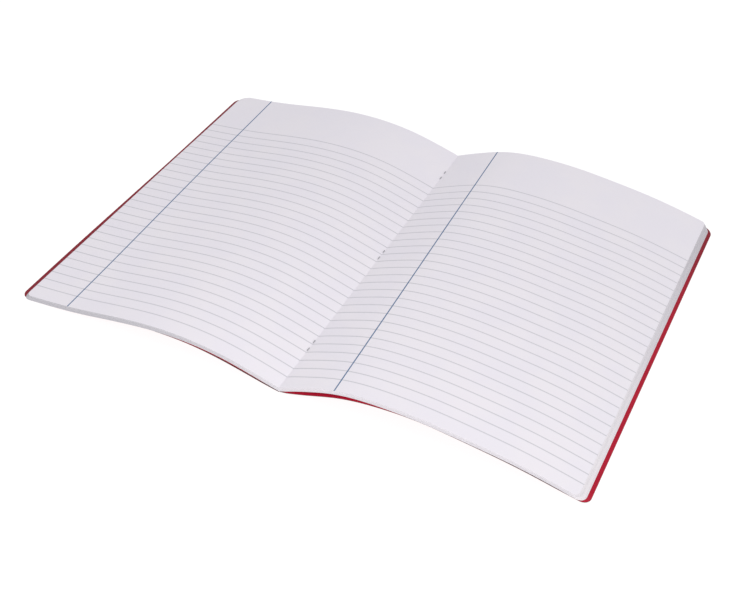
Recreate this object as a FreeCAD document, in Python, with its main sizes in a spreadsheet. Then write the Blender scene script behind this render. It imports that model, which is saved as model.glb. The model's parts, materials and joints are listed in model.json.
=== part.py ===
import FreeCAD, Part
import math
import os
import Sketcher
from FreeCAD import Placement, Rotation, Vector

# A thin staple-bound notebook lying open at its centre spread, both covers down.
# The spine runs along Y, the page heads point to +Y, the reader's left half is at -X.
# The floor is z = 0 and the origin is on the floor under the middle of the spine.
# Each half springs up from the fold, arches over and comes down to its fore-edge.
# Millimetres.

doc = FreeCAD.newDocument("notebook")

# ---------------------------------------------------------------- driving dimensions
sheet = doc.addObject("Spreadsheet::Sheet", "Dimensions")
cells = [
    # page block and cover, lengths along the spine
    ("page_height", 257.0),
    ("cover_height", 256.2),
    ("page_corner_radius", 5.0),
    ("cover_corner_radius", 5.6),
    # how far each half reaches from the fold, measured along the floor
    ("left_top_leaf_reach", 179.0),
    ("left_bottom_leaf_reach", 182.0),
    ("left_cover_reach", 184.3),
    ("right_top_leaf_reach", 178.4),
    ("right_bottom_leaf_reach", 182.0),
    ("right_cover_reach", 184.3),
    # thicknesses
    ("card_thickness", 0.4),
    ("stack_at_fold", 3.0),
    ("left_stack", 3.2),
    ("right_stack", 2.8),
    ("block_to_card_gap", 0.03),
    ("left_lens_gap", 1.3),
    ("left_lens_reach", 130.0),
    ("right_lens_gap", 3.0),
    ("right_lens_reach", 98.0),
    # the two halves stand this far from the plane of the fold
    ("fold_clearance", 0.15),
    # heights of the top leaf above the floor, at set distances from the fold
    ("fold_top", 3.93),
    ("left_rise_a", 8.4),
    ("left_rise_b", 14.0),
    ("left_rise_c", 17.1),
    ("left_rise_d", 16.1),
    ("left_rise_e", 12.3),
    ("left_rise_f", 7.9),
    ("right_rise_a", 10.3),
    ("right_rise_b", 17.9),
    ("right_rise_c", 20.9),
    ("right_rise_d", 20.2),
    ("right_rise_e", 17.3),
    ("right_rise_f", 13.4),
    ("left_spine_slope", 0.33),
    ("left_edge_slope", -0.10),
    ("right_spine_slope", 0.50),
    ("right_edge_slope", -0.28),
    # staples: round wire, crown under the cover, legs clinched over the centre fold
    ("wire_radius", 0.25),
    ("crown_length", 10.0),
    ("bend_radius", 0.6),
    ("clinch_height", 4.3),
    ("clinch_gap", 4.4),
    ("staple_top_place", 101.5),
    ("staple_middle_place", 4.0),
    ("staple_bottom_place", -90.0),
    ("leg_notch_length", 1.1),
    ("left_notch_depth", 0.6),
    ("right_notch_depth", 0.32),
]
for row, (alias, value) in enumerate(cells, start=1):
    sheet.set("A%d" % row, alias)
    sheet.set("B%d" % row, repr(float(value)))
    sheet.setAlias("B%d" % row, alias)
doc.recompute()


def dim(alias):
    return float(sheet.get(alias))


# ---------------------------------------------------------------- section curves
def clamped_spline(xs, zs, slope_start, slope_end):
    """Cubic spline through the points, with the slope given at both ends."""
    count = len(xs)
    step = [xs[i + 1] - xs[i] for i in range(count - 1)]
    low = [0.0] * count
    mid = [0.0] * count
    top = [0.0] * count
    rhs = [0.0] * count
    mid[0], rhs[0] = 1.0, slope_start
    mid[-1], rhs[-1] = 1.0, slope_end
    for i in range(1, count - 1):
        low[i] = step[i]
        mid[i] = 2.0 * (step[i - 1] + step[i])
        top[i] = step[i - 1]
        rhs[i] = 3.0 * (
            step[i] * (zs[i] - zs[i - 1]) / step[i - 1]
            + step[i - 1] * (zs[i + 1] - zs[i]) / step[i]
        )
    for i in range(1, count):
        factor = low[i] / mid[i - 1]
        mid[i] -= factor * top[i - 1]
        rhs[i] -= factor * rhs[i - 1]
    slope = [0.0] * count
    slope[-1] = rhs[-1] / mid[-1]
    for i in range(count - 2, -1, -1):
        slope[i] = (rhs[i] - top[i] * slope[i + 1]) / mid[i]

    def value(x):
        k = 0
        while k < count - 2 and x > xs[k + 1]:
            k += 1
        length = step[k]
        u = (x - xs[k]) / length
        h00 = (1 + 2 * u) * (1 - u) ** 2
        h10 = u * (1 - u) ** 2
        h01 = u * u * (3 - 2 * u)
        h11 = u * u * (u - 1)
        z = h00 * zs[k] + h10 * length * slope[k] + h01 * zs[k + 1] + h11 * length * slope[k + 1]
        d00 = 6 * u * u - 6 * u
        d10 = 3 * u * u - 4 * u + 1
        d01 = -d00
        d11 = 3 * u * u - 2 * u
        dz = (d00 * zs[k] + d01 * zs[k + 1]) / length + d10 * slope[k] + d11 * slope[k + 1]
        return z, dz

    return value


def smooth(u):
    u = min(1.0, max(0.0, u))
    return u * u * (3 - 2 * u)


class Half:
    """The section of one half: distance from the fold in, heights out."""

    def __init__(self, side):
        self.side = side
        reach = dim(side + "_cover_reach")
        stack = dim(side + "_stack")
        end_slope = dim(side + "_edge_slope")
        lean = math.sqrt(1 + end_slope**2)
        end_height = (stack + dim("card_thickness")) * lean + dim("block_to_card_gap")
        top_reach = dim(side + "_top_leaf_reach")
        xs = [0.0] + [f * top_reach for f in (0.08, 0.2, 0.35, 0.5, 0.65, 0.8)] + [reach]
        zs = [dim("fold_top")] + [dim(side + "_rise_" + c) for c in "abcdef"] + [end_height]
        self.curve = clamped_spline(xs, zs, dim(side + "_spine_slope"), end_slope)
        self.stack = stack

    def lean(self, x):
        z, dz = self.curve(x)
        return 1.0 + (math.sqrt(1 + dz * dz) - 1.0) * smooth(x / 6.0)

    def gap(self, x):
        # the card hangs a little below the leaves, in a lens-shaped opening by the fold
        reach = dim(self.side + "_lens_reach")
        u = x / reach
        if u >= 1.0:
            return dim("block_to_card_gap")
        bulge = (u**0.9) * (1 - u) ** 2.4
        peak_u = 0.9 / (0.9 + 2.4)
        peak = (peak_u**0.9) * (1 - peak_u) ** 2.4
        return dim("block_to_card_gap") + dim(self.side + "_lens_gap") * bulge / peak

    def leaf_top(self, x):
        return self.curve(x)[0]

    def leaf_bottom(self, x):
        thick = dim("stack_at_fold") + (self.stack - dim("stack_at_fold")) * smooth(x / 14.0)
        return self.leaf_top(x) - thick * self.lean(x)

    def card_top(self, x):
        return self.leaf_bottom(x) - self.gap(x)

    def card_bottom(self, x):
        return self.card_top(x) - dim("card_thickness") * self.lean(x)


def stations(start, end):
    """Distances from the fold, closer together near it."""
    count = 26
    return [start + (end - start) * (0.35 * (i / count) + 0.65 * (i / count) ** 2) for i in range(count + 1)]


def section_curve(height, start, end, sign):
    curve = Part.BSplineCurve()
    curve.interpolate([Vector(sign * x, height(x), 0) for x in stations(start, end)])
    return curve


# ---------------------------------------------------------------- building helpers
def origin_plane(body, role):
    for feature in body.Origin.OriginFeatures:
        if feature.Role == role:
            return feature
    raise RuntimeError("no plane " + role)


def new_sketch(body, name, role):
    sketch = body.newObject("Sketcher::SketchObject", name)
    sketch.AttachmentSupport = [(origin_plane(body, role), "")]
    sketch.MapMode = "FlatFace"
    return sketch


def new_body(label):
    body = doc.addObject("PartDesign::Body", label)
    body.Label = label
    return body


def arch_piece(label, sign, upper, lower, upper_reach, lower_reach, height_alias, radius_alias, reach_alias, notch_alias):
    """An arched slab: section padded along the spine, notched for the staples, trimmed to its rounded outline."""
    start = dim("fold_clearance")
    body = new_body(label + "_arch")
    sketch = new_sketch(body, label + "_section", "XZ_Plane")
    top = section_curve(upper, start, upper_reach, sign)
    bottom = section_curve(lower, start, lower_reach, sign)
    a = Vector(sign * start, upper(start), 0)
    b = Vector(sign * upper_reach, upper(upper_reach), 0)
    c = Vector(sign * lower_reach, lower(lower_reach), 0)
    d = Vector(sign * start, lower(start), 0)
    sketch.addGeometry(top, False)
    sketch.addGeometry(Part.LineSegment(b, c), False)
    sketch.addGeometry(bottom, False)
    sketch.addGeometry(Part.LineSegment(d, a), False)
    doc.recompute()
    pad = body.newObject("PartDesign::Pad", label + "_pad")
    pad.Profile = sketch
    pad.SideType = "Symmetric"
    pad.setExpression("Length", "Dimensions." + height_alias)
    doc.recompute()
    padded = pad.Shape.Volume

    # notches for the staple legs, two for each staple, open at the fold
    notches = new_sketch(body, label + "_notches", "XY_Plane")
    for place in ("staple_top_place", "staple_middle_place", "staple_bottom_place"):
        for leg in (1, -1):
            centre_y = dim(place) + leg * dim("crown_length") / 2
            half_length = dim("leg_notch_length") / 2
            deep = dim(notch_alias)
            q0 = Vector(0, centre_y - half_length, 0)
            q1 = Vector(0, centre_y + half_length, 0)
            q2 = Vector(sign * deep, centre_y + half_length, 0)
            q3 = Vector(sign * deep, centre_y - half_length, 0)
            first = notches.GeometryCount
            for p, q in ((q0, q1), (q1, q2), (q2, q3), (q3, q0)):
                notches.addGeometry(Part.LineSegment(p, q), False)
            notches.addConstraint(
                [
                    Sketcher.Constraint("Coincident", first, 2, first + 1, 1),
                    Sketcher.Constraint("Coincident", first + 1, 2, first + 2, 1),
                    Sketcher.Constraint("Coincident", first + 2, 2, first + 3, 1),
                    Sketcher.Constraint("Coincident", first + 3, 2, first, 1),
                    Sketcher.Constraint("Vertical", first),
                    Sketcher.Constraint("Horizontal", first + 1),
                    Sketcher.Constraint("Vertical", first + 2),
                    Sketcher.Constraint("Horizontal", first + 3),
                    Sketcher.Constraint("PointOnObject", first, 1, -2),
                    Sketcher.Constraint("DistanceY", -1, 1, first, 1, centre_y - half_length),
                    Sketcher.Constraint("DistanceY", -1, 1, first, 2, centre_y + half_length),
                    Sketcher.Constraint("DistanceX", -1, 1, first + 1, 2, sign * deep),
                ]
            )
            base = notches.ConstraintCount - 12
            ls = "+" if leg > 0 else "-"
            notches.setExpression(
                "Constraints[%d]" % (base + 9),
                "Dimensions.%s %s Dimensions.crown_length / 2 - Dimensions.leg_notch_length / 2" % (place, ls),
            )
            notches.setExpression(
                "Constraints[%d]" % (base + 10),
                "Dimensions.%s %s Dimensions.crown_length / 2 + Dimensions.leg_notch_length / 2" % (place, ls),
            )
            notches.setExpression(
                "Constraints[%d]" % (base + 11),
                "%sDimensions.%s" % ("" if sign > 0 else "-", notch_alias),
            )
    doc.recompute()
    slots = body.newObject("PartDesign::Pocket", label + "_leg_notches")
    slots.Profile = notches
    slots.Type = "Length"
    slots.SideType = "Symmetric"
    slots.Length = 60
    doc.recompute()
    # each notch must have taken its material: a point in its middle was solid and is not now
    for place in ("staple_top_place", "staple_middle_place", "staple_bottom_place"):
        for leg in (1, -1):
            x = sign * (start + dim(notch_alias)) / 2
            probe = Vector(x, dim(place) + leg * dim("crown_length") / 2, (upper(abs(x)) + lower(abs(x))) / 2)
            if not pad.Shape.isInside(probe, 1e-6, False) or slots.Shape.isInside(probe, 1e-6, False):
                raise RuntimeError("%s: no notch at y %.2f" % (label, probe.y))
    body.Tip = slots

    # the leaf's outline seen from above, with its two fore-edge corners rounded
    plan = new_body(label + "_plan")
    outline = new_sketch(plan, label + "_outline", "XY_Plane")
    reach, half, radius = dim(reach_alias), dim(height_alias) / 2, dim(radius_alias)
    inner, outer = sign * (reach - radius), sign * reach
    p = [
        Vector(0, -half, 0),
        Vector(inner, -half, 0),
        Vector(outer, -half + radius, 0),
        Vector(outer, half - radius, 0),
        Vector(inner, half, 0),
        Vector(0, half, 0),
    ]
    quarter = math.pi / 2
    turn = {1: (3, 4, 0, 1), -1: (2, 3, 1, 2)}[sign]
    low_arc = Part.ArcOfCircle(
        Part.Circle(Vector(inner, -half + radius, 0), Vector(0, 0, 1), radius), turn[0] * quarter, turn[1] * quarter
    )
    high_arc = Part.ArcOfCircle(
        Part.Circle(Vector(inner, half - radius, 0), Vector(0, 0, 1), radius), turn[2] * quarter, turn[3] * quarter
    )
    for piece in (
        Part.LineSegment(p[0], p[1]), low_arc, Part.LineSegment(p[2], p[3]),
        high_arc, Part.LineSegment(p[4], p[5]), Part.LineSegment(p[5], p[0]),
    ):
        outline.addGeometry(piece, False)

    def end_at(index, point):
        return 1 if (outline.Geometry[index].StartPoint - point).Length < 1e-6 else 2

    outline.addConstraint(
        [
            Sketcher.Constraint("Tangent", 0, 2, 1, end_at(1, p[1])),
            Sketcher.Constraint("Tangent", 1, end_at(1, p[2]), 2, 1),
            Sketcher.Constraint("Tangent", 2, 2, 3, end_at(3, p[3])),
            Sketcher.Constraint("Tangent", 3, end_at(3, p[4]), 4, 1),
            Sketcher.Constraint("Coincident", 4, 2, 5, 1),
            Sketcher.Constraint("Coincident", 5, 2, 0, 1),
            Sketcher.Constraint("Horizontal", 0),
            Sketcher.Constraint("Vertical", 2),
            Sketcher.Constraint("Horizontal", 4),
            Sketcher.Constraint("PointOnObject", 5, 1, -2),
            Sketcher.Constraint("PointOnObject", 5, 2, -2),
            Sketcher.Constraint("Symmetric", 5, 1, 5, 2, -1, 1),
            Sketcher.Constraint("Equal", 1, 3),
            Sketcher.Constraint("Radius", 1, radius),
            Sketcher.Constraint("DistanceY", 5, 2, 5, 1, 2 * half),
            Sketcher.Constraint("DistanceX", -1, 1, 2, 1, sign * reach),
        ]
    )
    outline.delConstraint(10)
    outline.setExpression("Constraints[12]", "Dimensions." + radius_alias)
    outline.setExpression("Constraints[13]", "Dimensions." + height_alias)
    outline.setExpression("Constraints[14]", ("" if sign > 0 else "-") + "Dimensions." + reach_alias)
    doc.recompute()
    plate = plan.newObject("PartDesign::Pad", label + "_plate")
    plate.Profile = outline
    plate.SideType = "Symmetric"
    plate.Length = 80
    plan.Tip = plate
    doc.recompute()

    trimmed = doc.addObject("Part::Common", label)
    trimmed.Label = label
    trimmed.Base = body
    trimmed.Tool = plan
    doc.recompute()
    # both fore-edge corners must be gone: a point in each was solid and is not now
    for end in (1, -1):
        x = reach - radius / 10
        probe = Vector(sign * x, end * (half - radius / 10), lower(x) + (upper(x) - lower(x)) / 10)
        if not slots.Shape.isInside(probe, 1e-6, False) or trimmed.Shape.isInside(probe, 1e-6, False):
            raise RuntimeError("%s: corner at y %.2f is not rounded" % (label, probe.y))
    print("%-12s section %.1f trimmed %.1f mm3" % (label, padded, trimmed.Shape.Volume))
    return trimmed


left = Half("left")
right = Half("right")

parts = []
parts.append(
    arch_piece(
        "left_pages", -1, left.leaf_top, left.leaf_bottom,
        dim("left_top_leaf_reach"), dim("left_bottom_leaf_reach"),
        "page_height", "page_corner_radius", "left_bottom_leaf_reach", "left_notch_depth",
    )
)
parts.append(
    arch_piece(
        "right_pages", 1, right.leaf_top, right.leaf_bottom,
        dim("right_top_leaf_reach"), dim("right_bottom_leaf_reach"),
        "page_height", "page_corner_radius", "right_bottom_leaf_reach", "right_notch_depth",
    )
)
parts.append(
    arch_piece(
        "front_cover", -1, left.card_top, left.card_bottom,
        dim("left_cover_reach"), dim("left_cover_reach"),
        "cover_height", "cover_corner_radius", "left_cover_reach", "left_notch_depth",
    )
)
parts.append(
    arch_piece(
        "back_cover", 1, right.card_top, right.card_bottom,
        dim("right_cover_reach"), dim("right_cover_reach"),
        "cover_height", "cover_corner_radius", "right_cover_reach", "right_notch_depth",
    )
)


# ---------------------------------------------------------------- staples
def staple(label, place_alias):
    """One length of round wire: clinched leg, bend, leg, bend, crown, bend, leg, bend, clinched leg."""
    body = new_body(label)
    path = new_sketch(body, label + "_path", "YZ_Plane")
    half = dim("crown_length") / 2
    bend = dim("bend_radius")
    low = dim("wire_radius")
    high = dim("clinch_height")
    tip = dim("clinch_gap") / 2

    def corner(cy, cz, from_angle, to_angle):
        mid = (from_angle + to_angle) / 2
        pts = [
            Vector(cy + bend * math.cos(angle), cz + bend * math.sin(angle), 0)
            for angle in (from_angle, mid, to_angle)
        ]
        return Part.Arc(*pts)

    quarter = math.pi / 2
    run = [
        Part.LineSegment(Vector(-tip, high, 0), Vector(-half + bend, high, 0)),
        corner(-half + bend, high - bend, quarter, 2 * quarter),
        Part.LineSegment(Vector(-half, high - bend, 0), Vector(-half, low + bend, 0)),
        corner(-half + bend, low + bend, 2 * quarter, 3 * quarter),
        Part.LineSegment(Vector(-half + bend, low, 0), Vector(half - bend, low, 0)),
        corner(half - bend, low + bend, 3 * quarter, 4 * quarter),
        Part.LineSegment(Vector(half, low + bend, 0), Vector(half, high - bend, 0)),
        corner(half - bend, high - bend, 0, quarter),
        Part.LineSegment(Vector(half - bend, high, 0), Vector(tip, high, 0)),
    ]
    for piece in run:
        path.addGeometry(piece, False)
    ring = new_sketch(body, label + "_wire", "XZ_Plane")
    ring.AttachmentOffset = Placement(Vector(0, 0, tip), Rotation())
    ring.addGeometry(Part.Circle(Vector(0, high, 0), Vector(0, 0, 1), dim("wire_radius")), False)
    ring.addConstraint(
        [
            Sketcher.Constraint("PointOnObject", 0, 3, -2),
            Sketcher.Constraint("DistanceY", -1, 1, 0, 3, high),
            Sketcher.Constraint("Radius", 0, dim("wire_radius")),
        ]
    )
    ring.setExpression("Constraints[1]", "Dimensions.clinch_height")
    ring.setExpression("Constraints[2]", "Dimensions.wire_radius")
    ring.setExpression("AttachmentOffset.Base.z", "Dimensions.clinch_gap / 2")
    doc.recompute()
    pipe = body.newObject("PartDesign::AdditivePipe", label + "_sweep")
    pipe.Profile = ring
    pipe.Spine = path
    pipe.Transition = "Transformed"
    doc.recompute()
    body.Tip = pipe
    body.setExpression("Placement.Base.y", "Dimensions." + place_alias)
    doc.recompute()
    length = sum(piece.length() for piece in run)
    print("%-14s volume %.3f, section times length %.3f" % (label, body.Shape.Volume, math.pi * low**2 * length))
    return body


parts.append(staple("staple_top", "staple_top_place"))
parts.append(staple("staple_middle", "staple_middle_place"))
parts.append(staple("staple_bottom", "staple_bottom_place"))

doc.recompute()

# ---------------------------------------------------------------- checks and export
for obj in doc.Objects:
    if "Invalid" in obj.State or "Error" in obj.State:
        raise RuntimeError("%s: %s" % (obj.Name, obj.State))
for part in parts:
    shape = part.Shape
    if shape.isNull() or not shape.isValid() or len(shape.Solids) != 1:
        raise RuntimeError(
            "%s: null %s valid %s solids %d" % (part.Label, shape.isNull(), shape.isValid(), len(shape.Solids))
        )

os.makedirs("parts", exist_ok=True)
for part in parts:
    part.Shape.exportStep("parts/%s.step" % part.Label)
    box = part.Shape.BoundBox
    print(
        "%-14s %9.1f mm3  x %.2f..%.2f  y %.2f..%.2f  z %.2f..%.2f"
        % (part.Label, part.Shape.Volume, box.XMin, box.XMax, box.YMin, box.YMax, box.ZMin, box.ZMax)
    )
for half in (left, right):
    for name, curve, reach in (
        ("top leaf", half.leaf_top, dim(half.side + "_top_leaf_reach")),
        ("card", half.card_bottom, dim(half.side + "_cover_reach")),
    ):
        count = 2000
        points = [(reach * i / count, curve(reach * i / count)) for i in range(count + 1)]
        flat = sum(math.dist(points[i], points[i + 1]) for i in range(count))
        print(half.side, name, "flat width %.2f" % flat)
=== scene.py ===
import json
import math
import random

import bpy
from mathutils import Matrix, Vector

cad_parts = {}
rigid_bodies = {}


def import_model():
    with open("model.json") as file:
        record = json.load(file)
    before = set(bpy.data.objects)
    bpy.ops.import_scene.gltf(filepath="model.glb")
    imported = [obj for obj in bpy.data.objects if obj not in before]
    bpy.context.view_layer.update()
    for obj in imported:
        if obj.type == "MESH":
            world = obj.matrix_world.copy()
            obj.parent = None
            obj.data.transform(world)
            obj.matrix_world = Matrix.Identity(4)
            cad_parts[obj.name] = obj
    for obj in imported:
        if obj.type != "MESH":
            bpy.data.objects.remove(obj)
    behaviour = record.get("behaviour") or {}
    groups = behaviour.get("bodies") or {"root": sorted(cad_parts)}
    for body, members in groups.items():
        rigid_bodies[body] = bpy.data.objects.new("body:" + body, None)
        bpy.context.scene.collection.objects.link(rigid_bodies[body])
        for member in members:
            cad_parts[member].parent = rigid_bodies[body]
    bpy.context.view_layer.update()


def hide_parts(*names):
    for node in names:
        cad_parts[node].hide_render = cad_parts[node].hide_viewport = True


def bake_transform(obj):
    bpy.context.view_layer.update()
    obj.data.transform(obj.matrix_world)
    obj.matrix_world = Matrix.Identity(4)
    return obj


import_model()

# A thin staple-bound notebook lying open at its centre spread, both covers down.
# Lengths below are millimetres; every mesh is written in metres.
MM = 0.001
rng = random.Random(1907)

# ------------------------------------------------------------------ camera
cam_data = bpy.data.cameras.new("camera")
cam_data.sensor_fit = "HORIZONTAL"
cam_data.sensor_width = 36.0
cam_data.lens = 56.23
cam_data.clip_start = 0.01
cam_data.clip_end = 20.0
cam = bpy.data.objects.new("camera", cam_data)
bpy.context.scene.collection.objects.link(cam)
cam.location = (0.25508, -0.51991, 0.48344)
cam.rotation_euler = (math.radians(48.344), 0.0, math.radians(26.366))
bpy.context.scene.camera = cam

# ------------------------------------------------------------------ sizes, as in the part
DIMS = {
    "page_height": 257.0, "cover_height": 256.2,
    "page_corner_radius": 5.0, "cover_corner_radius": 5.6,
    "left_top_leaf_reach": 179.0, "left_bottom_leaf_reach": 182.0, "left_cover_reach": 184.3,
    "right_top_leaf_reach": 178.4, "right_bottom_leaf_reach": 182.0, "right_cover_reach": 184.3,
    "card_thickness": 0.4, "stack_at_fold": 3.0, "left_stack": 3.2, "right_stack": 2.8,
    "block_to_card_gap": 0.03,
    "left_lens_gap": 1.3, "left_lens_reach": 130.0, "right_lens_gap": 3.0, "right_lens_reach": 98.0,
    "fold_top": 3.93,
    "left_rise_a": 8.4, "left_rise_b": 14.0, "left_rise_c": 17.1,
    "left_rise_d": 16.1, "left_rise_e": 12.3, "left_rise_f": 7.9,
    "right_rise_a": 10.3, "right_rise_b": 17.9, "right_rise_c": 20.9,
    "right_rise_d": 20.2, "right_rise_e": 17.3, "right_rise_f": 13.4,
    "left_spine_slope": 0.33, "left_edge_slope": -0.10,
    "right_spine_slope": 0.50, "right_edge_slope": -0.28,
    "wire_radius": 0.25, "crown_length": 10.0, "bend_radius": 0.6,
    "clinch_height": 4.3, "clinch_gap": 4.4,
}
STAPLES = (("staple_top", 101.5), ("staple_middle", 4.0), ("staple_bottom", -90.0))
LEAVES = 33


def dim(name):
    return DIMS[name]


def clamped_spline(xs, zs, slope_start, slope_end):
    """Cubic spline through the points, with the slope given at both ends."""
    count = len(xs)
    step = [xs[i + 1] - xs[i] for i in range(count - 1)]
    low = [0.0] * count
    mid = [0.0] * count
    top = [0.0] * count
    rhs = [0.0] * count
    mid[0], rhs[0] = 1.0, slope_start
    mid[-1], rhs[-1] = 1.0, slope_end
    for i in range(1, count - 1):
        low[i] = step[i]
        mid[i] = 2.0 * (step[i - 1] + step[i])
        top[i] = step[i - 1]
        rhs[i] = 3.0 * (
            step[i] * (zs[i] - zs[i - 1]) / step[i - 1]
            + step[i - 1] * (zs[i + 1] - zs[i]) / step[i]
        )
    for i in range(1, count):
        factor = low[i] / mid[i - 1]
        mid[i] -= factor * top[i - 1]
        rhs[i] -= factor * rhs[i - 1]
    slope = [0.0] * count
    slope[-1] = rhs[-1] / mid[-1]
    for i in range(count - 2, -1, -1):
        slope[i] = (rhs[i] - top[i] * slope[i + 1]) / mid[i]

    def value(x):
        k = 0
        while k < count - 2 and x > xs[k + 1]:
            k += 1
        length = step[k]
        u = (x - xs[k]) / length
        h00 = (1 + 2 * u) * (1 - u) ** 2
        h10 = u * (1 - u) ** 2
        h01 = u * u * (3 - 2 * u)
        h11 = u * u * (u - 1)
        z = h00 * zs[k] + h10 * length * slope[k] + h01 * zs[k + 1] + h11 * length * slope[k + 1]
        d00 = 6 * u * u - 6 * u
        d10 = 3 * u * u - 4 * u + 1
        d01 = -d00
        d11 = 3 * u * u - 2 * u
        dz = (d00 * zs[k] + d01 * zs[k + 1]) / length + d10 * slope[k] + d11 * slope[k + 1]
        return z, dz

    return value


def smooth(u):
    u = min(1.0, max(0.0, u))
    return u * u * (3 - 2 * u)


class Half:
    """The section of one half: distance from the fold in, heights out."""

    def __init__(self, side):
        self.side = side
        reach = dim(side + "_cover_reach")
        stack = dim(side + "_stack")
        end_slope = dim(side + "_edge_slope")
        lean = math.sqrt(1 + end_slope**2)
        end_height = (stack + dim("card_thickness")) * lean + dim("block_to_card_gap")
        top_reach = dim(side + "_top_leaf_reach")
        xs = [0.0] + [f * top_reach for f in (0.08, 0.2, 0.35, 0.5, 0.65, 0.8)] + [reach]
        zs = [dim("fold_top")] + [dim(side + "_rise_" + c) for c in "abcdef"] + [end_height]
        self.curve = clamped_spline(xs, zs, dim(side + "_spine_slope"), end_slope)
        self.stack = stack
        self.sign = -1.0 if side == "left" else 1.0

    def lean(self, x):
        z, dz = self.curve(x)
        return 1.0 + (math.sqrt(1 + dz * dz) - 1.0) * smooth(x / 6.0)

    def gap(self, x):
        reach = dim(self.side + "_lens_reach")
        u = x / reach
        if u >= 1.0:
            return dim("block_to_card_gap")
        bulge = (u**0.9) * (1 - u) ** 2.4
        peak_u = 0.9 / (0.9 + 2.4)
        peak = (peak_u**0.9) * (1 - peak_u) ** 2.4
        return dim("block_to_card_gap") + dim(self.side + "_lens_gap") * bulge / peak

    def leaf_top(self, x):
        return self.curve(x)[0]

    def thickness(self, x):
        thick = dim("stack_at_fold") + (self.stack - dim("stack_at_fold")) * smooth(x / 14.0)
        return thick * self.lean(x)

    def leaf_bottom(self, x):
        return self.leaf_top(x) - self.thickness(x)

    def card_top(self, x):
        return self.leaf_bottom(x) - self.gap(x)

    def card_bottom(self, x):
        return self.card_top(x) - dim("card_thickness") * self.lean(x)


LEFT, RIGHT = Half("left"), Half("right")


def arc_table(half, reach, count=1500):
    """Distance along the top leaf from the fold, for a distance measured along the floor."""
    table = [0.0]
    last = (0.0, half.leaf_top(0.0))
    for i in range(1, count + 1):
        x = reach * i / count
        now = (x, half.leaf_top(x))
        table.append(table[-1] + math.hypot(now[0] - last[0], now[1] - last[1]))
        last = now

    def along(x):
        f = min(max(x / reach, 0.0), 1.0) * count
        k = min(int(f), count - 1)
        return table[k] + (table[k + 1] - table[k]) * (f - k)

    return along


ALONG = {"left": arc_table(LEFT, 188.0), "right": arc_table(RIGHT, 188.0)}

FOLD_ZONE = 1.5
FOLD_STEPS = 7


def plan_stations(body_steps, corner_steps):
    """Signed stations from the left fore-edge to the right one: (side, kind, parameter)."""
    half = [("fold", FOLD_ZONE * (i / FOLD_STEPS) ** 1.3) for i in range(1, FOLD_STEPS + 1)]
    half += [("body", 0.35 * (i / body_steps) + 0.65 * (i / body_steps) ** 2) for i in range(1, body_steps + 1)]
    half += [("corner", math.pi / 2 * i / corner_steps) for i in range(1, corner_steps + 1)]
    out = [("left", kind, value) for kind, value in reversed(half)]
    out.append(("right", "fold", 0.0))
    out += [("right", kind, value) for kind, value in half]
    return out


def station_place(station, reach, radius, half_height):
    """Distance from the fold and half extent along the spine for one station of an outline."""
    side, kind, value = station
    if kind == "fold":
        return value, half_height
    if kind == "body":
        return FOLD_ZONE + (reach - radius - FOLD_ZONE) * value, half_height
    return reach - radius + radius * math.sin(value), half_height - radius + radius * math.cos(value)


def new_mesh_object(name, verts, faces, materials, face_material=None, uvs=None, smooth_faces=True):
    mesh = bpy.data.meshes.new(name)
    mesh.from_pydata([(x * MM, y * MM, z * MM) for x, y, z in verts], [], faces)
    mesh.update()
    for material in materials:
        mesh.materials.append(material)
    if face_material:
        mesh.polygons.foreach_set("material_index", face_material)
    if uvs:
        layer = mesh.uv_layers.new(name="leaf")
        flat = []
        for loop in mesh.loops:
            flat.extend(uvs[loop.vertex_index])
        layer.data.foreach_set("uv", flat)
    mesh.polygons.foreach_set("use_smooth", [smooth_faces] * len(mesh.polygons))
    obj = bpy.data.objects.new(name, mesh)
    bpy.context.scene.collection.objects.link(obj)
    return obj


# ------------------------------------------------------------------ node helpers
def new_material(name):
    material = bpy.data.materials.new(name)
    material.use_nodes = True
    tree = material.node_tree
    tree.nodes.clear()
    out = tree.nodes.new("ShaderNodeOutputMaterial")
    shader = tree.nodes.new("ShaderNodeBsdfPrincipled")
    tree.links.new(shader.outputs["BSDF"], out.inputs["Surface"])
    return material, tree, shader


def math_node(tree, operation, a, b=None, c=None, clamp=False):
    node = tree.nodes.new("ShaderNodeMath")
    node.operation = operation
    node.use_clamp = clamp
    for index, value in enumerate((a, b, c)):
        if value is None:
            continue
        if isinstance(value, (int, float)):
            node.inputs[index].default_value = value
        else:
            tree.links.new(value, node.inputs[index])
    return node.outputs[0]


def mix_colour(tree, factor, a, b):
    node = tree.nodes.new("ShaderNodeMix")
    node.data_type = "RGBA"
    for socket, value in ((node.inputs[0], factor), (node.inputs[6], a), (node.inputs[7], b)):
        if isinstance(value, (int, float)):
            socket.default_value = value
        elif isinstance(value, tuple):
            socket.default_value = value
        else:
            tree.links.new(value, socket)
    return node.outputs[2]


def noise(tree, vector, scale, detail=3.0, roughness=0.5):
    node = tree.nodes.new("ShaderNodeTexNoise")
    node.inputs["Scale"].default_value = scale
    node.inputs["Detail"].default_value = detail
    node.inputs["Roughness"].default_value = roughness
    tree.links.new(vector, node.inputs["Vector"])
    return node.outputs["Fac"]


def ramp(tree, factor, low, high, to_low=0.0, to_high=1.0):
    node = tree.nodes.new("ShaderNodeMapRange")
    node.interpolation_type = "SMOOTHSTEP"
    node.inputs["From Min"].default_value = low
    node.inputs["From Max"].default_value = high
    node.inputs["To Min"].default_value = to_low
    node.inputs["To Max"].default_value = to_high
    tree.links.new(factor, node.inputs["Value"])
    return node.outputs["Result"]


def bump(tree, height, strength, distance, normal=None):
    node = tree.nodes.new("ShaderNodeBump")
    node.inputs["Strength"].default_value = strength
    node.inputs["Distance"].default_value = distance
    tree.links.new(height, node.inputs["Height"])
    if normal is not None:
        tree.links.new(normal, node.inputs["Normal"])
    return node.outputs["Normal"]


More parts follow.
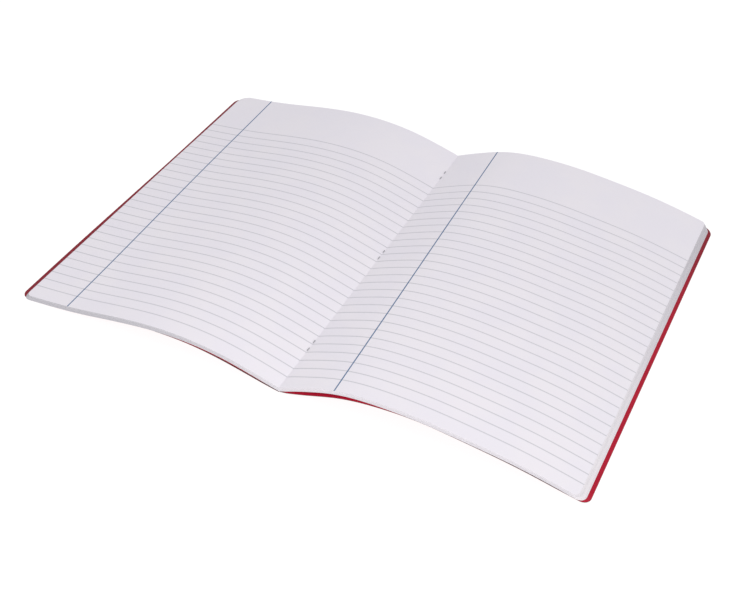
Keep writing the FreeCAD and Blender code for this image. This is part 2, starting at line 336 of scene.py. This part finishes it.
# ------------------------------------------------------------------ paper, printed with ruling and margins
RULE_PITCH = 7.88
RULE_MIDDLE = 15.45
RULE_TILT = 0.000442
RULE_DRIFT = -0.000026
RULE_COUNT = 27
RULE_WIDTH = 0.76
MARGIN_WIDTH = 0.84
PAPER = (0.885, 0.850, 0.905, 1.0)
PAPER_WARM = (0.900, 0.862, 0.905, 1.0)
RULE_INK = (0.435, 0.445, 0.475, 1.0)
MARGIN_INK = (0.072, 0.155, 0.30, 1.0)


def leaf_vector(tree):
    uv = tree.nodes.new("ShaderNodeUVMap")
    uv.uv_map = "leaf"
    split = tree.nodes.new("ShaderNodeSeparateXYZ")
    tree.links.new(uv.outputs["UV"], split.inputs[0])
    return uv.outputs["UV"], split.outputs[0], split.outputs[1]


def paper_material():
    """Uncoated writing paper. The map holds millimetres along the leaf from the fold, and along the spine."""
    material, tree, shader = new_material("ruled_paper_printed")
    uv, s, y = leaf_vector(tree)

    # ruling: a comb along the spine, limited to its first and last line
    # (the lines lie a touch aslant, and their spacing drifts by a few tenths of a millimetre to the head)
    rate = math_node(tree, "MULTIPLY_ADD", y, RULE_DRIFT, 1.0 / RULE_PITCH)
    count = math_node(tree, "MULTIPLY_ADD", rate, y, RULE_MIDDLE)
    phase = math_node(tree, "MULTIPLY_ADD", s, RULE_TILT, count)
    nearest = math_node(tree, "ROUND", phase)
    off = math_node(tree, "ABSOLUTE", math_node(tree, "SUBTRACT", phase, nearest))
    off_mm = math_node(tree, "MULTIPLY", off, RULE_PITCH)
    line = ramp(tree, off_mm, RULE_WIDTH * 0.34, RULE_WIDTH * 0.66, 1.0, 0.0)
    above = math_node(tree, "GREATER_THAN", nearest, -0.5)
    below = math_node(tree, "LESS_THAN", nearest, RULE_COUNT - 0.5)
    line = math_node(tree, "MULTIPLY", line, math_node(tree, "MULTIPLY", above, below))

    # margin line of each page, printed a little askew to the fold
    left_place = math_node(tree, "MULTIPLY_ADD", y, -0.0230, -153.0)
    right_place = math_node(tree, "MULTIPLY_ADD", y, -0.0264, 35.25)
    left_off = math_node(tree, "ABSOLUTE", math_node(tree, "SUBTRACT", s, left_place))
    right_off = math_node(tree, "ABSOLUTE", math_node(tree, "SUBTRACT", s, right_place))
    margin_off = math_node(tree, "MINIMUM", left_off, right_off)
    margin = ramp(tree, margin_off, MARGIN_WIDTH * 0.36, MARGIN_WIDTH * 0.64, 1.0, 0.0)

    # ink takes unevenly in the fibre
    fibre = noise(tree, uv, 2.2, 5.0, 0.62)
    flecks = noise(tree, uv, 0.55, 3.0, 0.5)
    cloud = noise(tree, uv, 0.035, 2.0, 0.5)
    hold = ramp(tree, fibre, 0.30, 0.62, 0.62, 1.0)
    line = math_node(tree, "MULTIPLY", math_node(tree, "MULTIPLY", line, hold), 0.65)
    margin = math_node(tree, "MULTIPLY", margin, ramp(tree, fibre, 0.30, 0.60, 0.80, 1.0))

    base = mix_colour(tree, ramp(tree, cloud, 0.35, 0.65), PAPER, PAPER_WARM)
    dusk = mix_colour(tree, ramp(tree, flecks, 0.60, 0.78, 0.0, 0.10), base, (0.78, 0.78, 0.80, 1.0))
    ruled = mix_colour(tree, line, dusk, RULE_INK)
    printed = mix_colour(tree, margin, ruled, MARGIN_INK)
    tree.links.new(printed, shader.inputs["Base Color"])
    shader.inputs["Roughness"].default_value = 0.86
    shader.inputs["Specular IOR Level"].default_value = 0.28
    shader.inputs["Sheen Weight"].default_value = 0.06
    shader.inputs["Sheen Roughness"].default_value = 0.6
    fine = bump(tree, fibre, 0.22, 0.00006)
    wide = bump(tree, cloud, 0.10, 0.0016, fine)
    tree.links.new(wide, shader.inputs["Normal"])
    return material


def leaf_edge_material():
    """Cut edges of the stacked leaves: thin shaded lines between them. The map's second value counts leaves."""
    material, tree, shader = new_material("ruled_paper_cut_edge")
    uv, s, leaf = leaf_vector(tree)
    stretch = tree.nodes.new("ShaderNodeMapping")
    stretch.inputs["Scale"].default_value = (0.012, 1.0, 1.0)
    tree.links.new(uv, stretch.inputs["Vector"])
    band = noise(tree, stretch.outputs["Vector"], 0.9, 4.0, 0.7)
    grain = noise(tree, uv, 1.4, 4.0, 0.6)
    tone = mix_colour(tree, ramp(tree, band, 0.36, 0.66), (0.69, 0.660, 0.695, 1.0), (0.86, 0.820, 0.865, 1.0))
    # painted shade: towards the near corner of the left half, where the leaves lie looser, their edges are painted
    # greyer for the shade in the gaps between them
    left_near_gap_shade = ramp(tree, s, 80.0, 190.0, 1.0, 0.0)
    part = math_node(tree, "FRACT", leaf)
    slit = math_node(tree, "ABSOLUTE", math_node(tree, "SUBTRACT", part, 0.5))
    shade = ramp(tree, slit, 0.34, 0.50, 0.0, 0.42)
    tone = mix_colour(tree, math_node(tree, "MULTIPLY", left_near_gap_shade, 0.66), tone, (0.47, 0.46, 0.49, 1.0))
    # along the right fore-edge, painted light makes the leaf edges paler at the near end and painted shade makes them
    # darker towards the far end
    tone = mix_colour(tree, math_node(tree, "MULTIPLY", ramp(tree, s, 360.0, 376.0), ramp(tree, s, 380.0, 540.0, 0.75, 0.0)), tone, (0.98, 0.93, 0.95, 1.0))
    tone = mix_colour(tree, math_node(tree, "MULTIPLY", ramp(tree, s, 490.0, 625.0, 0.0, 0.45), ramp(tree, s, 626.0, 700.0, 1.0, 0.0)), tone, (0.52, 0.49, 0.52, 1.0))
    tone = mix_colour(tree, shade, tone, (0.34, 0.34, 0.37, 1.0))
    tone = mix_colour(tree, ramp(tree, grain, 0.55, 0.75, 0.0, 0.25), tone, (0.60, 0.60, 0.62, 1.0))
    tree.links.new(tone, shader.inputs["Base Color"])
    shader.inputs["Roughness"].default_value = 0.92
    shader.inputs["Specular IOR Level"].default_value = 0.2
    tree.links.new(bump(tree, grain, 0.35, 0.00008), shader.inputs["Normal"])
    return material


def card_material():
    """Red card, coated on both faces: fine fibre under the coat, faint scuffs, painted shade along the inner rims and
    a dark painted shade line along the near rim.
    """
    material, tree, shader = new_material("red_card_coated")
    uv, s, y = leaf_vector(tree)
    fibre = noise(tree, uv, 0.9, 5.0, 0.6)
    mottle = noise(tree, uv, 0.06, 3.0, 0.55)
    scuff_map = tree.nodes.new("ShaderNodeMapping")
    scuff_map.inputs["Scale"].default_value = (0.05, 0.6, 1.0)
    scuff_map.inputs["Rotation"].default_value = (0.0, 0.0, 0.35)
    tree.links.new(uv, scuff_map.inputs["Vector"])
    scuff = noise(tree, scuff_map.outputs["Vector"], 1.0, 6.0, 0.7)
    base = mix_colour(tree, ramp(tree, mottle, 0.30, 0.70), (0.43, 0.0030, 0.024, 1.0), (0.47, 0.0040, 0.028, 1.0))
    base = mix_colour(tree, ramp(tree, fibre, 0.35, 0.75, 0.0, 0.30), base, (0.32, 0.003, 0.020, 1.0))
    base = mix_colour(tree, ramp(tree, scuff, 0.66, 0.82, 0.0, 0.12), base, (0.58, 0.05, 0.08, 1.0))
    # painted shade: inside, the rims beside the page block are darker and browner: the left one, and the far end of
    # the right one
    painted_left_rim_shade = math_node(tree, "MULTIPLY", ramp(tree, s, -181.5, -179.5, 1.0, 0.0), 0.55)
    painted_far_rim_shade = math_node(tree, "MULTIPLY", ramp(tree, s, 179.5, 181.5), ramp(tree, y, 20.0, 120.0, 0.0, 0.55))
    inner = math_node(tree, "LESS_THAN", y, 200.0)
    painted_rim_shade = math_node(tree, "MULTIPLY", math_node(tree, "MAXIMUM", painted_left_rim_shade, painted_far_rim_shade), inner)
    base = mix_colour(tree, painted_rim_shade, base, (0.13, 0.012, 0.020, 1.0))
    # painted shade: along the very rim at the near end the face is darkened to the core's grey-brown, standing for
    # the shade in the gap there
    painted_near_rim_shade = math_node(tree, "MULTIPLY", ramp(tree, y, -128.15, -127.85, 0.90, 0.0), math_node(tree, "GREATER_THAN", y, -140.0))
    # the painted shade is left out beside the fold under the right half, where the rim stays red down to its edge
    red_rim_span = math_node(tree, "MULTIPLY", ramp(tree, s, 2.0, 6.0), ramp(tree, s, 85.0, 115.0, 1.0, 0.0))
    painted_near_rim_shade = math_node(tree, "MULTIPLY", painted_near_rim_shade, ramp(tree, red_rim_span, 0.0, 1.0, 1.0, 0.0))
    base = mix_colour(tree, painted_near_rim_shade, base, (0.070, 0.043, 0.041, 1.0))
    tree.links.new(base, shader.inputs["Base Color"])
    rough = ramp(tree, scuff, 0.35, 0.75, 0.40, 0.50)
    tree.links.new(rough, shader.inputs["Roughness"])
    shader.inputs["Specular IOR Level"].default_value = 0.20
    shader.inputs["Coat Weight"].default_value = 0.04
    shader.inputs["Coat Roughness"].default_value = 0.28
    fine = bump(tree, fibre, 0.16, 0.00008)
    wide = bump(tree, mottle, 0.05, 0.0008, fine)
    tree.links.new(wide, shader.inputs["Normal"])
    return material


def card_edge_material():
    """The cut edge of the card: a grey-brown core under the red coat, a little rubbed, painted dark for the shade in
    the gap along the near edge.
    """
    material, tree, shader = new_material("red_card_cut_edge")
    uv, s, y = leaf_vector(tree)
    grain = noise(tree, uv, 1.2, 4.0, 0.65)
    # partly painted shade: the core's grey-brown is made dark enough to stand for the shade in the gap along the near
    # edge
    base = mix_colour(tree, ramp(tree, grain, 0.35, 0.70), (0.062, 0.039, 0.037, 1.0), (0.115, 0.070, 0.067, 1.0))
    tree.links.new(base, shader.inputs["Base Color"])
    shader.inputs["Roughness"].default_value = 0.7
    tree.links.new(bump(tree, grain, 0.4, 0.00008), shader.inputs["Normal"])
    return material


def wire_material():
    """Galvanised stapling wire, drawn lengthways."""
    material, tree, shader = new_material("staple_wire_galvanised")
    uv, s, y = leaf_vector(tree)
    drawn = tree.nodes.new("ShaderNodeMapping")
    drawn.inputs["Scale"].default_value = (0.5, 18.0, 1.0)
    tree.links.new(uv, drawn.inputs["Vector"])
    streak = noise(tree, drawn.outputs["Vector"], 1.0, 3.0, 0.6)
    base = mix_colour(tree, ramp(tree, streak, 0.3, 0.7), (0.34, 0.34, 0.36, 1.0), (0.62, 0.62, 0.64, 1.0))
    tree.links.new(base, shader.inputs["Base Color"])
    shader.inputs["Metallic"].default_value = 1.0
    tree.links.new(ramp(tree, streak, 0.3, 0.7, 0.44, 0.28), shader.inputs["Roughness"])
    tree.links.new(bump(tree, streak, 0.3, 0.00003), shader.inputs["Normal"])
    return material


MAT_PAPER = paper_material()
MAT_LEAF_EDGE = leaf_edge_material()
MAT_CARD = card_material()
MAT_CARD_EDGE = card_edge_material()
MAT_WIRE = wire_material()


# ------------------------------------------------------------------ page block
def build_paper():
    """Both halves of the leaves as one closed form that runs through the fold, its cut edges stepped leaf by leaf."""
    stations = plan_stations(58, 6)
    rows = 44
    half_height = dim("page_height") / 2
    radius = 5.0
    halves = {"left": LEFT, "right": RIGHT}

    def swell(side, x, y):
        # the top leaf is not drawn tight: it lifts in low broad waves away from the fold and from its edges
        f = smooth(x / 60.0)
        if side == "left":
            w = 0.22 * math.sin(0.030 * y + 0.9) + 0.14 * math.sin(0.047 * x + 0.021 * y)
        else:
            w = 0.24 * math.sin(0.026 * y - 0.6) + 0.14 * math.sin(0.041 * x - 0.024 * y + 1.2)
        return w * f

    def point(station, v, depth, inset_side, inset_end):
        side, kind, value = station
        half = halves[side]
        top, bottom = dim(side + "_top_leaf_reach"), dim(side + "_bottom_leaf_reach")
        reach = top + (bottom - top) * depth - inset_side
        # the leaves' corners are not cut alike: the far left one is rounder, the far right one tighter
        far = 8.0 if side == "left" else 2.4
        rad = 3.6 + (far - 3.6) * (1 + v) / 2
        rad += (radius - rad) * depth
        x, extent = station_place(station, reach, rad, half_height - inset_end)
        y = v * extent
        z = half.leaf_top(x) - half.thickness(x) * depth + swell(side, x, y) * (1 - depth) ** 2
        if side == "left":
            # the leaves of this half are fanned a little at the near end, the lower ones further out
            x += smooth(x / reach) * (0.15 + 0.60 * smooth((20.0 - y) / 140.0))
            y -= 0.95 * depth * smooth((x - 40.0) / 110.0) * smooth(-y / 128.0)
        return half.sign * x, y, z

    verts, uvs, faces, kinds = [], [], [], []
    count = len(stations)

    def grid(depth, inset):
        base = len(verts)
        for station in stations:
            for j in range(rows + 1):
                v = -1 + 2 * j / rows
                p = point(station, v, depth, inset[0], inset[1])
                verts.append(p)
                side = station[0]
                s = (-1 if side == "left" else 1) * ALONG[side](abs(p[0]))
                uvs.append((s, p[1]))
        return base

    # each leaf's cut edge stands a few hundredths in or out of its neighbours'
    insets = []
    for k in range(LEAVES):
        insets.append((rng.uniform(-0.05, 0.13), rng.uniform(0.0, 0.10)))
    insets[0] = (0.0, 0.02)

    ring_keys = (
        [(i, 0) for i in range(count)]
        + [(count - 1, j) for j in range(1, rows + 1)]
        + [(i, rows) for i in range(count - 2, -1, -1)]
        + [(0, j) for j in range(rows - 1, 0, -1)]
    )

    top = grid(0.0, insets[0])
    for i in range(count - 1):
        for j in range(rows):
            a = top + i * (rows + 1) + j
            b = a + rows + 1
            faces.append((a, b, b + 1, a + 1))
            kinds.append(0)
    ring = [top + i * (rows + 1) + j for i, j in ring_keys]

    def add_ring(depth, inset, leaf_value):
        base = len(verts)
        run = 0.0
        last = None
        for i, j in ring_keys:
            v = -1 + 2 * j / rows
            p = point(stations[i], v, depth, inset[0], inset[1])
            if last is not None:
                run += math.dist(p, last)
            last = p
            verts.append(p)
            uvs.append((run, leaf_value))
        return list(range(base, base + len(ring_keys)))

    def wall(upper, lower):
        n = len(upper)
        for k in range(n):
            m = (k + 1) % n
            faces.append((upper[k], lower[k], lower[m], upper[m]))
            kinds.append(1)

    for k in range(LEAVES):
        upper_depth, lower_depth = k / LEAVES, (k + 1) / LEAVES
        slim = 0.10 / LEAVES
        if k:
            upper = add_ring(upper_depth + slim, insets[k], k + 0.04)
            wall(ring, upper)
            ring = upper
        if k == LEAVES - 1:
            break
        lower = add_ring(lower_depth - slim, insets[k], k + 0.96)
        wall(ring, lower)
        ring = lower
    bottom = grid(1.0, insets[-1])
    for i in range(count - 1):
        for j in range(rows):
            a = bottom + i * (rows + 1) + j
            b = a + rows + 1
            faces.append((a, a + 1, b + 1, b))
            kinds.append(0)
    wall(ring, [bottom + i * (rows + 1) + j for i, j in ring_keys])
    obj = new_mesh_object("paper_block", verts, faces, [MAT_PAPER, MAT_LEAF_EDGE], kinds, uvs)
    sharp_by_angle(obj, 35.0)
    return obj


def sharp_by_angle(obj, degrees):
    """Smooth faces, with the edges sharper than this angle left crisp."""
    bpy.context.view_layer.objects.active = obj
    for other in bpy.context.view_layer.objects:
        other.select_set(other == obj)
    bpy.ops.object.shade_smooth_by_angle(angle=math.radians(degrees), keep_sharp_edges=True)
    obj.select_set(False)


# ------------------------------------------------------------------ cover
def build_card():
    """One card folded along the spine, its cut edge slightly rounded over."""
    stations = plan_stations(60, 8)
    rows = 40
    half_height = dim("cover_height") / 2
    radius = dim("cover_corner_radius")
    reach = dim("left_cover_reach")
    halves = {"left": LEFT, "right": RIGHT}
    count = len(stations)

    def point(station, v, depth, inset):
        side = station[0]
        half = halves[side]
        x, extent = station_place(station, reach - inset, radius - inset, half_height - inset)
        z = half.card_top(x) + (half.card_bottom(x) - half.card_top(x)) * depth
        y = v * extent
        near = smooth(-y / 128.0)
        if side == "left":
            # cut a little out of square: it stands further out towards the near end
            x += smooth(x / reach) * (1.45 * smooth((64.0 - y) / 160.0) - 0.15)
            y -= near * (0.45 * (1 - smooth((x - 25.0) / 45.0)) - 0.35 * smooth((x - 75.0) / 40.0))
        else:
            y -= near * (0.20 * (1 - smooth(x / 60.0)) + 0.60 * smooth((x - 65.0) / 85.0) * (1 - 0.80 * smooth((x - 163.0) / 18.0)))
        return half.sign * x, y, z

    verts, uvs, faces, kinds = [], [], [], []

    def grid(depth, inset):
        base = len(verts)
        for station in stations:
            for j in range(rows + 1):
                p = point(station, -1 + 2 * j / rows, depth, inset)
                verts.append(p)
                s = (-1 if station[0] == "left" else 1) * ALONG[station[0]](abs(p[0]))
                uvs.append((s, p[1] + (400.0 if depth > 0.5 else 0.0)))
        return base

    ring_keys = (
        [(i, 0) for i in range(count)]
        + [(count - 1, j) for j in range(1, rows + 1)]
        + [(i, rows) for i in range(count - 2, -1, -1)]
        + [(0, j) for j in range(rows - 1, 0, -1)]
    )
    top = grid(0.0, 0.07)
    for i in range(count - 1):
        for j in range(rows):
            a = top + i * (rows + 1) + j
            b = a + rows + 1
            faces.append((a, b, b + 1, a + 1))
            kinds.append(0)
    ring = [top + i * (rows + 1) + j for i, j in ring_keys]
    for depth, inset in ((0.12, 0.02), (0.30, 0.0), (0.70, 0.0), (0.88, 0.02)):
        base = len(verts)
        for i, j in ring_keys:
            p = point(stations[i], -1 + 2 * j / rows, depth, inset)
            verts.append(p)
            uvs.append((p[0] + 3.0 * depth, p[1] + 3.0 * depth))
        now = list(range(base, base + len(ring_keys)))
        n = len(now)
        for k in range(n):
            m = (k + 1) % n
            faces.append((ring[k], now[k], now[m], ring[m]))
            kinds.append(1 if depth > 0.13 else 0)
        ring = now
    bottom = grid(1.0, 0.07)
    for i in range(count - 1):
        for j in range(rows):
            a = bottom + i * (rows + 1) + j
            b = a + rows + 1
            faces.append((a, a + 1, b + 1, b))
            kinds.append(0)
    last = [bottom + i * (rows + 1) + j for i, j in ring_keys]
    n = len(last)
    for k in range(n):
        m = (k + 1) % n
        faces.append((ring[k], last[k], last[m], ring[m]))
        kinds.append(0)
    obj = new_mesh_object("cover_card", verts, faces, [MAT_CARD, MAT_CARD_EDGE], kinds, uvs)
    sharp_by_angle(obj, 50.0)
    return obj


# ------------------------------------------------------------------ staples
def build_staple(name, place):
    """Round wire: crown under the cover, two legs through the fold, ends clinched over the centre leaf."""
    half = dim("crown_length") / 2
    bend = dim("bend_radius")
    low = dim("wire_radius")
    high = dim("clinch_height")
    tip = dim("clinch_gap") / 2
    wire = dim("wire_radius")
    path = []

    def corner(cy, cz, start, end, steps=7):
        for i in range(steps + 1):
            angle = start + (end - start) * i / steps
            path.append((cy + bend * math.cos(angle), cz + bend * math.sin(angle)))

    quarter = math.pi / 2
    path.append((-tip, high - 0.10))
    path.append((-tip - 0.5, high - 0.05))
    corner(-half + bend, high - bend, quarter, 2 * quarter)
    corner(-half + bend, low + bend, 2 * quarter, 3 * quarter)
    for i in range(1, 8):
        path.append((-half + bend + (2 * half - 2 * bend) * i / 8, low))
    corner(half - bend, low + bend, 3 * quarter, 4 * quarter)
    corner(half - bend, high - bend, 0, quarter)
    path.append((tip + 0.5, high - 0.05))
    path.append((tip, high - 0.10))

    around = 14
    verts, uvs, faces = [], [], []
    n = len(path)
    run = 0.0
    rings = []

    def add_ring(y, z, ty, tz, radius, along):
        base = len(verts)
        for a in range(around):
            angle = 2 * math.pi * a / around
            side_x = math.cos(angle) * radius
            out = math.sin(angle) * radius
            verts.append((side_x, place + y - tz * out, z + ty * out))
            uvs.append((along, a / around))
        return base

    for i, (y, z) in enumerate(path):
        y0, z0 = path[max(i - 1, 0)]
        y1, z1 = path[min(i + 1, n - 1)]
        length = math.hypot(y1 - y0, z1 - z0)
        ty, tz = (y1 - y0) / length, (z1 - z0) / length
        if i:
            run += math.hypot(y - path[i - 1][0], z - path[i - 1][1])
        if i == 0:
            # chisel-cut wire end, bevelled
            rings.append(add_ring(y, z, ty, tz, wire * 0.55, run))
            rings.append(add_ring(y + ty * 0.10, z + tz * 0.10, ty, tz, wire * 0.96, run + 0.1))
        elif i == n - 1:
            rings.append(add_ring(y - ty * 0.10, z - tz * 0.10, ty, tz, wire * 0.96, run - 0.1))
            rings.append(add_ring(y, z, ty, tz, wire * 0.55, run))
        else:
            rings.append(add_ring(y, z, ty, tz, wire, run))
    for a, b in zip(rings[:-1], rings[1:]):
        for k in range(around):
            m = (k + 1) % around
            faces.append((a + k, b + k, b + m, a + m))
    faces.append(tuple(rings[0] + k for k in range(around)))
    faces.append(tuple(rings[-1] + k for k in reversed(range(around))))
    obj = new_mesh_object(name, verts, faces, [MAT_WIRE], None, uvs)
    sharp_by_angle(obj, 50.0)
    return obj


paper = build_paper()
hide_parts("left_pages", "right_pages")
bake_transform(paper)

card = build_card()
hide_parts("front_cover", "back_cover")
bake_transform(card)

for node, place in STAPLES:
    wire_piece = build_staple(node + "_wire", place)
    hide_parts(node)
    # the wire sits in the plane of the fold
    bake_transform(wire_piece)


# ------------------------------------------------------------------ floor and light
def build_floor():
    material, tree, shader = new_material("studio_floor")
    shader.inputs["Base Color"].default_value = (0.20, 0.20, 0.20, 1.0)
    shader.inputs["Roughness"].default_value = 0.9
    shader.inputs["Specular IOR Level"].default_value = 0.1
    shader.inputs["Emission Color"].default_value = (1.0, 1.0, 1.0, 1.0)
    shader.inputs["Emission Strength"].default_value = 0.90
    mesh = bpy.data.meshes.new("studio_floor")
    size = 6.0
    mesh.from_pydata([(-size, -size, 0), (size, -size, 0), (size, size, 0), (-size, size, 0)], [], [(0, 1, 2, 3)])
    mesh.materials.append(material)
    floor = bpy.data.objects.new("studio_floor", mesh)
    floor.location = (0, 0, -0.0002)
    bpy.context.scene.collection.objects.link(floor)


def area_light(name, place, target, size, power, colour=(1, 1, 1)):
    data = bpy.data.lights.new(name, "AREA")
    data.shape = "DISK"
    data.size = size
    data.energy = power
    data.color = colour
    obj = bpy.data.objects.new(name, data)
    obj.location = place
    direction = Vector(target) - Vector(place)
    obj.rotation_euler = direction.to_track_quat("-Z", "Y").to_euler()
    bpy.context.scene.collection.objects.link(obj)
    return obj


build_floor()
area_light("front_light", (0.17, -0.633, 0.459), (0.0, 0.0, 0.0), 0.36, 1.85, (1.0, 0.99, 0.98))
area_light("side_light", (2.16, 0.79, 1.93), (0.0, 0.0, 0.0), 1.2, 8.3, (1.0, 0.99, 0.98))

world = bpy.data.worlds.new("studio_world")
world.use_nodes = True
background = world.node_tree.nodes["Background"]
background.inputs["Color"].default_value = (0.97, 0.975, 1.0, 1.0)
background.inputs["Strength"].default_value = 0.68
bpy.context.scene.world = world
bpy.context.scene.view_settings.view_transform = "Standard"
